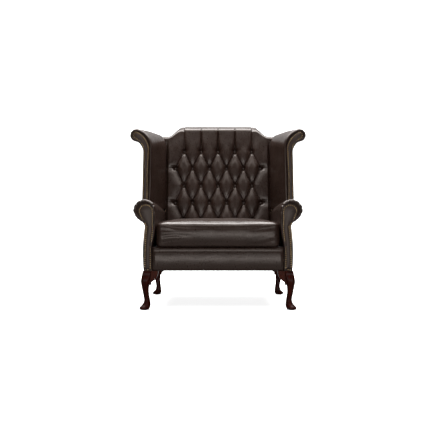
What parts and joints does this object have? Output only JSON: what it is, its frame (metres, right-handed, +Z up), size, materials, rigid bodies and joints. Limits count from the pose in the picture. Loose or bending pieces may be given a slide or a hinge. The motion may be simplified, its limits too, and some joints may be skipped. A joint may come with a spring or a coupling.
{
  "type": "cuddle chair",
  "caption": "High-backed scroll-wing cuddle chair in dark brown leather: diamond-buttoned back, nailed facings, loose seat cushion, cabriole legs.",
  "frame": {"origin": "on the floor, under the middle of the chair's outline", "axes": "+Z up, the chair faces -Y, +X is to the right for someone looking at its front"},
  "size_m": [1.06, 0.8659, 1.1152],
  "materials": {
    "leather": "semi-gloss, fine grain",
    "mahogany": "dark stain under clear lacquer",
    "antique_brass": "antiqued, satin",
    "beech": "planed, unfinished",
    "steel": "oiled spring steel",
    "foam": "upholstery foam",
    "felt": "needled felt",
    "jute": "woven jute",
    "cambric": "black cambric",
    "glide": "moulded"
  },
  "bodies": {
    "chair": {"arm_facing_left": "leather", "arm_facing_right": "leather", "arm_nails_left": "antique_brass", "arm_nails_right": "antique_brass", "arm_outside_left": "leather", "arm_outside_right": "leather", "arm_pad_left": "leather", "arm_pad_right": "leather", "arm_post_left": "beech", "arm_post_right": "beech", "arm_rail_left": "beech", "arm_rail_right": "beech", "back_buttons": "leather", "back_lower_rail": "beech", "back_outside": "leather", "back_pad": "leather", "back_post_left": "beech", "back_post_right": "beech", "back_side_left": "leather", "back_side_right": "leather", "back_top_rail": "beech", "back_webbing": "jute", "corner_blocks": "beech", "deck_cloth": "jute", "deck_pad": "felt", "dust_cover": "cambric", "foot_glides": "glide", "front_border": "leather", "front_rail": "beech", "knee_brackets": "mahogany", "leg_bolts": "steel", "leg_front_left": "mahogany", "leg_front_right": "mahogany", "leg_rear_left": "mahogany", "leg_rear_right": "mahogany", "rear_rail": "beech", "seat_springs": "steel", "side_rail_left": "beech", "side_rail_right": "beech", "spring_clips": "steel", "wing_facing_left": "leather", "wing_facing_right": "leather", "wing_nails_left": "antique_brass", "wing_nails_right": "antique_brass", "wing_outside_left": "leather", "wing_outside_right": "leather", "wing_pad_left": "leather", "wing_pad_right": "leather", "wing_post_left": "beech", "wing_post_right": "beech", "wing_rail_left": "beech", "wing_rail_right": "beech"},
    "seat_cushion": {"seat_cushion_cover": "leather", "seat_cushion_core": "foam"}
  },
  "joints": [
    {"name": "cushion_lift", "type": "slide", "parent": "chair", "child": "seat_cushion", "axis": [0, 0, 1], "range_m": [0, 0.28]}
  ]
}
